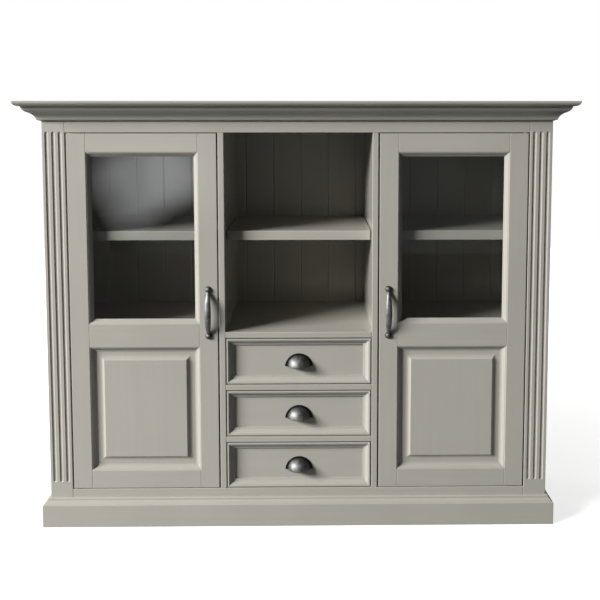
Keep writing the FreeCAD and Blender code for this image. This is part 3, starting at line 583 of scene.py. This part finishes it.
def cut_away(piece: bpy.types.Object, spot: Triple, away: Triple, fill: bool) -> None:
    """Cut off what lies on one side of a plane.

    Args:
        piece: The object.
        spot: A point of the plane.
        away: Direction of the side that goes.
        fill: True to close the cut.
    """
    take(piece)
    bpy.ops.object.mode_set(mode="EDIT")
    bpy.ops.mesh.select_all(action="SELECT")
    bpy.ops.mesh.bisect(plane_co=spot, plane_no=away, clear_outer=True, use_fill=fill)
    bpy.ops.object.mode_set(mode="OBJECT")


def smooth(piece: bpy.types.Object) -> None:
    """Shade a piece smoothly between its sharp edges."""
    take(piece)
    bpy.ops.object.shade_smooth_by_angle(angle=math.radians(SMOOTH_ANGLE))


def ball(centre: Sequence[float], radius: float, segments: int) -> bpy.types.Object:
    """Add a whole ball, the start of a dome.

    Args:
        centre: Its centre.
        radius: Its radius.
        segments: Number of faces round it.

    Returns:
        The object.
    """
    clear_selection()
    bpy.ops.mesh.primitive_uv_sphere_add(
        segments=segments, ring_count=segments // 2, radius=radius, location=centre)
    piece = bpy.context.object
    settle(piece)
    return piece


@dataclass
class Fitting:
    """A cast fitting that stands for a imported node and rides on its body."""

    name: str
    body: str
    node: str
    material: bpy.types.Material

    def place(self, piece: bpy.types.Object) -> None:
        """Finish a modelled piece and set it on its body.

        Args:
            piece: The modelled object.
        """
        piece.data.materials.clear()
        piece.data.materials.append(self.material)
        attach(piece, self.body)
        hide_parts(self.node)
        log.info("modelled %s, %d faces", piece.name, len(piece.data.polygons))


@dataclass
class BowHandle(Fitting):
    """Bow handle: a flat, swelling spindle between two domed feet, with a short post near each end.

    Places along the spindle are shares of its half length: 0 in the middle and 1 at a foot.
    """

    foot_radius: float = 0.0108
    foot_spacing: float = 0.147
    foot_sink: float = 0.002
    foot_segments: int = 48
    bow: float = 0.022
    grip_radius: float = 0.0102
    grip_depth: float = 0.0056
    grip_rings: int = 8
    grip_step: float = 0.1
    neck_radius: float = 0.0043
    collar_radius: float = 0.0058
    collar_span: Pair = (0.80, 0.84)
    collar_ease: float = 0.015
    post_radius: float = 0.0050
    post_spacing: float = 0.128
    post_flare: float = 1.15
    sides: int = 24

    @property
    def arc(self) -> float:
        """Radius of the bow's curve."""
        half = self.foot_spacing / 2
        return (half ** 2 + self.bow ** 2) / (2 * self.bow)

    @property
    def sweep(self) -> float:
        """Turn of the bow's curve from its middle to a foot."""
        return math.asin(self.foot_spacing / 2 / self.arc)

    def girth(self, share: float) -> Pair:
        """Give the spindle's half width and half depth.

        Args:
            share: Place along the spindle.

        Returns:
            The half width and the half depth.
        """
        swell = math.cos(share * QUARTER_TURN)
        width = self.neck_radius + (self.grip_radius - self.neck_radius) * swell
        return width, self.neck_radius + (self.grip_depth - self.neck_radius) * swell

    def outline(self) -> list[tuple[float, Pair]]:
        """Give the upper half's outline from the middle up.

        Returns:
            Places along the spindle, each with its half width and half depth.
        """
        low, high = self.collar_span
        neck, collar = (self.neck_radius,) * 2, (self.collar_radius,) * 2
        shares = [ring * self.grip_step for ring in range(self.grip_rings)]
        rings = [(share, self.girth(share)) for share in shares]
        rings += [(low - self.collar_ease, self.girth(low)), (low, collar), (high, collar)]
        return rings + [(high + self.collar_ease, neck), (1.0, neck)]

    def on_bow(self, middle: Vector, turn: float) -> Vector:
        """Give the point of the bow's curve at an angle from its middle, over the line between the feet."""
        out = self.arc * (math.cos(turn) - 1) + self.bow
        return Vector((middle.x, middle.y - out, middle.z + self.arc * math.sin(turn)))

    def spindle(self, middle: Vector) -> bpy.types.Object:
        """Model the spindle, ring by ring along the bow.

        Args:
            middle: Middle of the line between the feet.

        Returns:
            The object.
        """
        upper = self.outline()
        rings = [(-share, sizes) for share, sizes in reversed(upper[1:])] + upper
        places = [(share * self.sweep, sizes) for share, sizes in rings]
        turn, (radius, _) = places[0]
        clear_selection()
        bpy.ops.mesh.primitive_circle_add(
            vertices=self.sides, radius=radius, fill_type="NGON", location=self.on_bow(middle, turn),
            rotation=(-turn, 0, 0))
        piece = bpy.context.object
        settle(piece)
        bpy.ops.object.mode_set(mode="EDIT")
        bpy.ops.mesh.select_all(action="SELECT")
        for (here, old), (there, new) in zip(places, places[1:]):
            spot = self.on_bow(middle, there)
            step = spot - self.on_bow(middle, here)
            bpy.ops.mesh.extrude_region_move(TRANSFORM_OT_translate={"value": step})
            bpy.ops.transform.rotate(value=there - here, orient_axis="X", center_override=spot)
            deep = new[1] / old[1]
            bpy.ops.transform.resize(value=(new[0] / old[0], deep, deep), center_override=spot)
        bpy.ops.mesh.select_all(action="SELECT")
        bpy.ops.mesh.normals_make_consistent(inside=False)
        bpy.ops.object.mode_set(mode="OBJECT")
        apply_modifier(piece, "SUBSURF", levels=1, render_levels=1)
        return piece

    def foot(self, middle: Vector, sign: int) -> bpy.types.Object:
        """Make one domed foot, still a whole ball: the upper one for sign 1, the lower one for -1."""
        height = middle.z + sign * self.foot_spacing / 2
        return ball((middle.x, middle.y, height), self.foot_radius, self.foot_segments)

    def post(self, middle: Vector, face: float, offset: float) -> bpy.types.Object:
        """Make one post, which flares towards the wood.

        Args:
            middle: Middle of the line between the feet.
            face: Y of the wood's face.
            offset: Height above the handle's middle.

        Returns:
            The object.
        """
        length = face - self.on_bow(middle, math.asin(offset / self.arc)).y
        clear_selection()
        bpy.ops.mesh.primitive_cone_add(
            vertices=self.sides, radius1=self.post_radius * self.post_flare, radius2=self.post_radius,
            depth=length, rotation=(QUARTER_TURN, 0, 0),
            location=(middle.x, face - length / 2, middle.z + offset))
        piece = bpy.context.object
        settle(piece)
        return piece

    def build(self) -> None:
        """Model the handle and set it on its door."""
        low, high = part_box(self.node)
        face = high.y
        middle = (low + high) / 2
        middle.y = face + self.foot_sink
        parts = [self.spindle(middle)] + [self.foot(middle, sign) for sign in (-1, 1)]
        for part in parts:
            cut_away(part, (0, face, 0), (0, 1, 0), True)
        parts += [self.post(middle, face, sign * self.post_spacing / 2) for sign in (-1, 1)]
        piece = join(parts, self.name)
        smooth(piece)
        self.place(piece)


@dataclass
class CupPull(Fitting):
    """Cup pull: a hollow quarter ball, open below, on a flat flange with a raised edge."""

    width: float = 0.088
    height: float = 0.041
    depth: float = 0.030
    dome_rise: float = 0.0375
    dome_segments: int = 72
    dome_bevel: float = 0.0006
    wall: float = 0.002
    flange_thickness: float = 0.0022
    flange_steps: int = 72
    flange_bevel: float = 0.0003
    flange_bevel_angle: float = 40.0
    edge_width: float = 0.0024
    edge_height: float = 0.0007
    edge_taper: float = 0.5
    boss_spacing: float = 0.052
    boss_rise: float = 0.012
    boss_radius: float = 0.004
    boss_sides: int = 20
    boss_gap: float = 0.0015
    boss_bevel: float = 0.0004
    bevel_angle: float = 50.0
    select_margin: float = 0.0001
    merge_distance: float = 0.00001

    def dome(self, centre: Vector, radius: float, seat: float, base: float) -> bpy.types.Object:
        """Make the hollow dome.

        Args:
            centre: Centre of its ball.
            radius: Outer radius of its ball.
            seat: Y of the face that it stands on.
            base: Z of its open lower edge.

        Returns:
            The object.
        """
        piece = ball(centre, radius, self.dome_segments)
        cut_away(piece, (0, 0, base), (0, 0, -1), False)
        apply_modifier(piece, "SOLIDIFY", thickness=self.wall, offset=-1.0)
        cut_away(piece, (0, seat, 0), (0, 1, 0), True)
        round_edges(piece, self.dome_bevel, self.bevel_angle, segments=2)
        return piece

    def section(self, hub: Vector, inner: float, outer: float) -> bpy.types.Object:
        """Draw the flange's section to the right of its hub, with the raised edge.

        Args:
            hub: Point on the seat that the flange is spun round.
            inner: Radius at which the section starts, under the dome.
            outer: Radius at which it ends.

        Returns:
            The object, which is left in edit mode.
        """
        plate = self.flange_thickness - self.edge_height
        clear_selection()
        bpy.ops.mesh.primitive_plane_add(
            size=1.0, location=(hub.x + (inner + outer) / 2, hub.y - plate / 2, hub.z))
        piece = bpy.context.object
        piece.scale = (outer - inner, plate, 1.0)
        settle(piece)
        edge = hub.x + outer - self.edge_width
        bpy.ops.object.mode_set(mode="EDIT")
        bpy.ops.mesh.select_all(action="SELECT")
        bpy.ops.mesh.bisect(plane_co=(edge, 0, 0), plane_no=(1, 0, 0))
        bpy.ops.mesh.select_all(action="DESELECT")
        bpy.ops.object.mode_set(mode="OBJECT")
        bpy.context.tool_settings.mesh_select_mode = (True, False, False)
        for vertex in piece.data.vertices:
            vertex.select = vertex.co.x > edge - self.select_margin and vertex.co.y < hub.y - plate / 2
        bpy.ops.object.mode_set(mode="EDIT")
        bpy.ops.mesh.extrude_region_move(TRANSFORM_OT_translate={"value": (0, -self.edge_height, 0)})
        crest = (edge + self.edge_width / 2, 0, 0)
        bpy.ops.transform.resize(value=(self.edge_taper, 1.0, 1.0), center_override=crest)
        return piece

    def flange(self, centre: Vector, seat: float, base: float) -> bpy.types.Object:
        """Spin the flange round the dome.

        Args:
            centre: Centre of the dome's ball.
            seat: Y of the face that it lies on.
            base: Z of its lower edge.

        Returns:
            The object.
        """
        outer = ((self.width / 2) ** 2 + self.height ** 2) / (2 * self.height)
        hub = Vector((centre.x, seat, base + self.height - outer))
        piece = self.section(hub, self.dome_rise - self.wall / 2, outer)
        bpy.ops.mesh.select_all(action="SELECT")
        bpy.ops.mesh.spin(steps=self.flange_steps, angle=math.pi, center=hub, axis=(0, 1, 0))
        bpy.ops.mesh.select_all(action="SELECT")
        bpy.ops.mesh.remove_doubles(threshold=self.merge_distance)
        bpy.ops.mesh.normals_make_consistent(inside=False)
        bpy.ops.object.mode_set(mode="OBJECT")
        cut_away(piece, (0, 0, base), (0, 0, -1), True)
        round_edges(piece, self.flange_bevel, self.flange_bevel_angle, segments=2)
        return piece

    def boss(self, centre: Vector, radius: float, seat: float, spot: Vector) -> bpy.types.Object:
        """Make one boss for a screw, from the wood to the dome's inside.

        Args:
            centre: Centre of the dome's ball.
            radius: Outer radius of the dome's ball.
            seat: Y of the face.
            spot: Middle of the boss on the face.

        Returns:
            The object.
        """
        across = (spot - Vector((centre.x, spot.y, centre.z))).length
        front = centre.y - math.sqrt((radius - self.wall / 2) ** 2 - across ** 2)
        length = seat - front - self.boss_gap
        clear_selection()
        bpy.ops.mesh.primitive_cylinder_add(
            vertices=self.boss_sides, radius=self.boss_radius, depth=length, rotation=(QUARTER_TURN, 0, 0),
            location=(spot.x, seat - length / 2, spot.z))
        piece = bpy.context.object
        settle(piece)
        round_edges(piece, self.boss_bevel, self.bevel_angle, segments=1)
        return piece

    def build(self) -> bpy.types.Object:
        """Model the pull and set it on its drawer.

        Returns:
            The pull, which other drawers copy.
        """
        low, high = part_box(self.node)
        seat, base = high.y, low.z
        radius = (self.dome_rise ** 2 + self.depth ** 2) / (2 * self.depth)
        centre = Vector(((low.x + high.x) / 2, seat + radius - self.depth, base))
        parts = [self.dome(centre, radius, seat, base), self.flange(centre, seat, base)]
        for sign in (-1, 1):
            spot = Vector((centre.x + sign * self.boss_spacing / 2, seat, base + self.boss_rise))
            parts.append(self.boss(centre, radius, seat, spot))
        piece = join(parts, self.name)
        smooth(piece)
        self.place(piece)
        return piece

    def repeat(self, model: bpy.types.Object) -> None:
        """Set a copy of a modelled pull on this drawer, without the marks that tie the model to its own.

        Args:
            model: The pull that was modelled first.
        """
        piece = model.copy()
        piece.data = model.data.copy()
        piece.parent = None
        for key in list(piece.keys()):
            del piece[key]
        piece.name = self.name
        piece.data.name = self.name
        bpy.context.scene.collection.objects.link(piece)
        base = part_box(self.node)[0].z
        lift = base - min(vertex.co.z for vertex in piece.data.vertices)
        piece.location = (0.0, 0.0, lift)
        settle(piece)
        self.place(piece)


@dataclass
class Carcass:
    """The standing case: sides, partitions, boards, mouldings and shelves."""

    finishes: Finishes
    upright: tuple[str, ...] = (
        "side_panel_left", "side_panel_right", "partition_left", "partition_right",
        "pilaster_left", "pilaster_right", "back_boards")
    across: tuple[str, ...] = (
        "bottom_panel", "top_board", "frieze_rail", "bottom_rail", "bay_floor", "plinth_front",
        "cornice_front", "centre_shelf", "side_shelves", "drawer_rails")
    inward: tuple[str, ...] = ("plinth_returns", "cornice_returns")
    pine_inward: tuple[str, ...] = ("drawer_runners", "base_bearers")
    pine_across: tuple[str, ...] = ("drawer_stops",)
    steel: tuple[str, ...] = ("shelf_pegs", "door_pivots")
    plastic: tuple[str, ...] = ("door_catches",)

    def dress(self) -> None:
        """Give each board and each metal part its finish."""
        made = self.finishes
        for names, material in (
                (self.upright, made.painted[Grain.UPRIGHT]), (self.across, made.painted[Grain.ACROSS]),
                (self.inward, made.painted[Grain.INWARD]), (self.pine_inward, made.planed[Grain.INWARD]),
                (self.pine_across, made.planed[Grain.ACROSS]), (self.steel, made.steel_parts),
                (self.plastic, made.catch_parts)):
            for name in names:
                dress(name, material)


@dataclass
class Door:
    """A glazed panel door with its bow handle."""

    body: str
    finishes: Finishes
    handle_rub: float = 0.012

    def dress(self) -> None:
        """Give each piece of the door its finish."""
        made = self.finishes
        for name in ("outer_stile", "inner_stile", "panel", "glazing_beads"):
            dress(f"{self.body}_{name}", made.painted[Grain.UPRIGHT])
        dress(f"{self.body}_rails", made.painted[Grain.ACROSS])
        dress(f"{self.body}_glass", made.panes)
        dress(f"{self.body}_pivot_bushes", made.brass_parts)
        for name in ("handle_screws", "strike_plate"):
            dress(f"{self.body}_{name}", made.steel_parts)

    def fit_handle(self) -> None:
        """Model the handle on the free stile, burnished to some depth from its front."""
        node = f"{self.body}_handle"
        low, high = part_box(node)
        material = self.finishes.pewter.material(node, high.y, low.y + self.handle_rub)
        BowHandle(f"{self.body}_bow", self.body, node, material).build()


@dataclass
class Drawer:
    """A drawer with a moulded front, a pine box and a cup pull."""

    body: str
    finishes: Finishes
    pull_recess: float = 0.001
    pull_rub: float = 0.006

    def dress(self) -> None:
        """Give each piece of the drawer its finish."""
        made = self.finishes
        dress(f"{self.body}_front", made.painted[Grain.ACROSS])
        dress(f"{self.body}_walls", made.box_pine)
        dress(f"{self.body}_bottom", made.planed[Grain.ACROSS])
        dress(f"{self.body}_pull_screws", made.steel_parts)

    def pull_metal(self) -> bpy.types.Material:
        """Make the metal of a pull, dark next to the wood and burnished to some depth from its front."""
        low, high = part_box(f"{self.body}_pull")
        return self.finishes.pewter.material("cup", high.y - self.pull_recess, low.y + self.pull_rub)

    def pull(self, material: bpy.types.Material) -> CupPull:
        """Describe this drawer's pull, not yet modelled."""
        return CupPull(f"{self.body}_cup", self.body, f"{self.body}_pull", material)


@dataclass(frozen=True)
class Card:
    """A soft-edged pale card that glows only where shiny surfaces mirror it: a painted reflection, which the
    camera and plain surfaces never see.

    Its glow fades between two distances from its middle, in shares of its size.
    """

    name: str
    place: Triple
    size: Pair
    tilt: float
    strength: float
    fade: Pair = (0.5, 0.2)
    tint: Colour = (0.98, 0.99, 1.0, 1.0)

    def stand(self) -> None:
        """Stand the card in front of the piece."""
        clear_selection()
        bpy.ops.mesh.primitive_plane_add(
            size=1.0, location=self.place, rotation=(QUARTER_TURN, self.tilt, 0))
        card = bpy.context.object
        card.name = self.name
        card.scale = (self.size[0], self.size[1], 1.0)
        sheet = NodeSheet(self.name + "_glow")
        away = sheet.add("VectorMath", {0: sheet.places()}, operation="ABSOLUTE").outputs[0]
        across, up, _ = sheet.add("SeparateXYZ", {"Vector": away}).outputs
        rows = sheet.span(up, self.fade, (0.0, self.strength))
        glow = sheet.sums("MULTIPLY", sheet.span(across, self.fade, WHOLE), rows)
        soft = sheet.add("Emission", {"Color": self.tint, "Strength": glow})
        clear = sheet.add("BsdfTransparent", {})
        # A ray that goes through a pane counts as glossy too, but only a mirrored one has a glossy bounce.
        path = sheet.add("LightPath", {}).outputs
        mirrored = sheet.sums("MINIMUM", path["Is Glossy Ray"], path["Glossy Depth"])
        card.data.materials.append(sheet.choose(mirrored, clear, soft))
        log.info("stood %s", card.name)


@dataclass
class Studio:
    """White floor and backdrop, soft light from the left and the camera.

    The camera sees both papers and the air as white, and the floor's glow is weaker near the piece, so that
    its shadow shows. The light that the papers throw back on the piece is a plain grey's, and on the floor
    that grey is palest near the piece.
    """

    floor_size: float = 26.0
    floor_tone: Colour = (0.55, 0.55, 0.545, 1.0)
    floor_specular: float = 0.1
    floor_glow: Pair = (0.75, 1.0)
    glow_reach: Pair = (1.0, 2.2)
    near_grey: Colour = (0.22, 0.222, 0.224, 1.0)
    far_grey: Colour = (0.05, 0.05, 0.05, 1.0)
    grey_ends: Pair = (-2.2, -1.0)
    backdrop_size: float = 18.0
    backdrop_distance: float = 4.6
    backdrop_tone: Colour = (0.8, 0.8, 0.79, 1.0)
    paper_roughness: float = 0.9
    lamp_place: Triple = (-9.75, -4.9, 5.3)
    lamp_aim: Triple = (0.0, 0.0, 0.7)
    lamp_size: Pair = (4.7, 2.6)
    lamp_power: float = 3180.0
    # Painted reflections: cards that glow only in mirrored rays, so the panes and the metal show pale light
    # like a window's.
    cards: tuple[Card, ...] = (
        Card("left_card", place=(-1.40, -4.3, 0.76), size=(1.2, 0.9), tilt=-0.5, strength=2.3),
        Card("front_card", place=(0.3, -4.6, 0.4), size=(7.0, 4.0), tilt=0.0, strength=0.15))
    sky: float = 0.008
    camera_place: Triple = (0.05267, -2.3907, 1.29453)
    camera_pitch: float = 0.0698
    camera_yaw: float = 0.0119
    camera_sensor: float = 36.0
    camera_lens: float = 43.479
    camera_shift: Pair = (-0.0400, -0.2236)

    def seen(self, sheet: NodeSheet) -> Socket:
        """Tell rays of the camera, straight or through a pane, from rays that carry light to the piece.

        Args:
            sheet: Nodes of a paper or of the air.

        Returns:
            1 for a ray of the camera, otherwise 0.
        """
        path = sheet.add("LightPath", {}).outputs
        straight = sheet.sums("MAXIMUM", path["Is Camera Ray"], path["Is Transmission Ray"])
        bounces = sheet.sums("ADD", path["Diffuse Depth"], path["Glossy Depth"])
        return sheet.sums("MULTIPLY", straight, sheet.sums("LESS_THAN", bounces, HALF))

    def floor_paper(self) -> bpy.types.Material:
        """Make the floor's paper, on which the camera also sees the piece's shadow.

        Returns:
            The material.
        """
        sheet = NodeSheet("floor_paper")
        places = sheet.places()
        reach = sheet.add("VectorMath", {0: places}, operation="LENGTH").outputs["Value"]
        sheet.finish({
            "Base Color": self.floor_tone,
            "Roughness": self.paper_roughness,
            "Specular IOR Level": self.floor_specular,
            "Emission Color": WHITE,
            "Emission Strength": sheet.span(reach, self.glow_reach, self.floor_glow),
        })
        near = sheet.span(sheet.depth(places), self.grey_ends, WHOLE)
        plain = sheet.add("BsdfDiffuse", {"Color": sheet.blend(near, self.far_grey, self.near_grey)})
        return sheet.choose(self.seen(sheet), plain, sheet.shader)

    def backdrop_paper(self) -> bpy.types.Material:
        """Make the backdrop's paper.

        Returns:
            The material.
        """
        sheet = NodeSheet("backdrop_paper")
        sheet.finish({"Base Color": self.backdrop_tone, "Roughness": self.paper_roughness})
        white = sheet.add("Emission", {"Color": WHITE, "Strength": 1.0})
        return sheet.choose(self.seen(sheet), sheet.shader, white)

    def ground(self) -> None:
        """Lay the floor and stand the backdrop behind the piece."""
        clear_selection()
        bpy.ops.mesh.primitive_plane_add(size=self.floor_size, location=(0, 0, 0))
        floor = bpy.context.object
        floor.name = "studio_floor"
        floor.data.materials.append(self.floor_paper())
        clear_selection()
        bpy.ops.mesh.primitive_plane_add(
            size=self.backdrop_size, location=(0, self.backdrop_distance, self.backdrop_size / 2),
            rotation=(QUARTER_TURN, 0, 0))
        backdrop = bpy.context.object
        backdrop.name = "studio_backdrop"
        settle(backdrop)
        backdrop.data.materials.append(self.backdrop_paper())

    def lamp(self) -> None:
        """Hang the soft lamp."""
        data = bpy.data.lights.new("soft_lamp", "AREA")
        data.shape = "RECTANGLE"
        data.size, data.size_y = self.lamp_size
        data.energy = self.lamp_power
        lamp = bpy.data.objects.new("soft_lamp", data)
        lamp.location = self.lamp_place
        beam = Vector(self.lamp_aim) - Vector(self.lamp_place)
        lamp.rotation_euler = beam.to_track_quat("-Z", "Y").to_euler()
        lamp.visible_camera = False
        lamp.visible_transmission = False
        bpy.context.scene.collection.objects.link(lamp)

    def air(self) -> None:
        """Set the even light all round, which the camera sees as white."""
        sheet = NodeSheet("studio_air", is_air=True)
        sheet.finish({"Color": WHITE, "Strength": self.sky})
        white = sheet.add("Background", {"Color": WHITE, "Strength": 1.0})
        bpy.context.scene.world = sheet.choose(self.seen(sheet), sheet.shader, white)

    def camera(self) -> None:
        """Set the camera where the picture was taken."""
        data = bpy.data.cameras.new("front_camera")
        data.sensor_width = self.camera_sensor
        data.lens = self.camera_lens
        data.shift_x, data.shift_y = self.camera_shift
        camera = bpy.data.objects.new("front_camera", data)
        camera.location = self.camera_place
        camera.rotation_euler = (QUARTER_TURN - self.camera_pitch, 0.0, -self.camera_yaw)
        bpy.context.scene.collection.objects.link(camera)
        bpy.context.scene.camera = camera
        bpy.context.scene.view_settings.view_transform = "Standard"

    def build(self) -> None:
        """Set up the camera, the light, the papers and the cards."""
        self.camera()
        self.lamp()
        self.air()
        self.ground()
        for card in self.cards:
            card.stand()


def main() -> None:
    """Build the studio, then dress and fit the case, the doors and the drawers."""
    logging.basicConfig(level=logging.INFO, format="%(message)s")
    Studio().build()
    finishes = Finishes()
    Carcass(finishes).dress()
    for body in ("left_door", "right_door"):
        door = Door(body, finishes)
        door.dress()
        door.fit_handle()
    drawers = [Drawer(f"{place}_drawer", finishes) for place in ("bottom", "middle", "top")]
    for drawer in drawers:
        drawer.dress()
    cup_metal = drawers[0].pull_metal()
    first, *others = (drawer.pull(cup_metal) for drawer in drawers)
    model = first.build()
    for pull in others:
        pull.repeat(model)


if __name__ == "__main__":
    main()
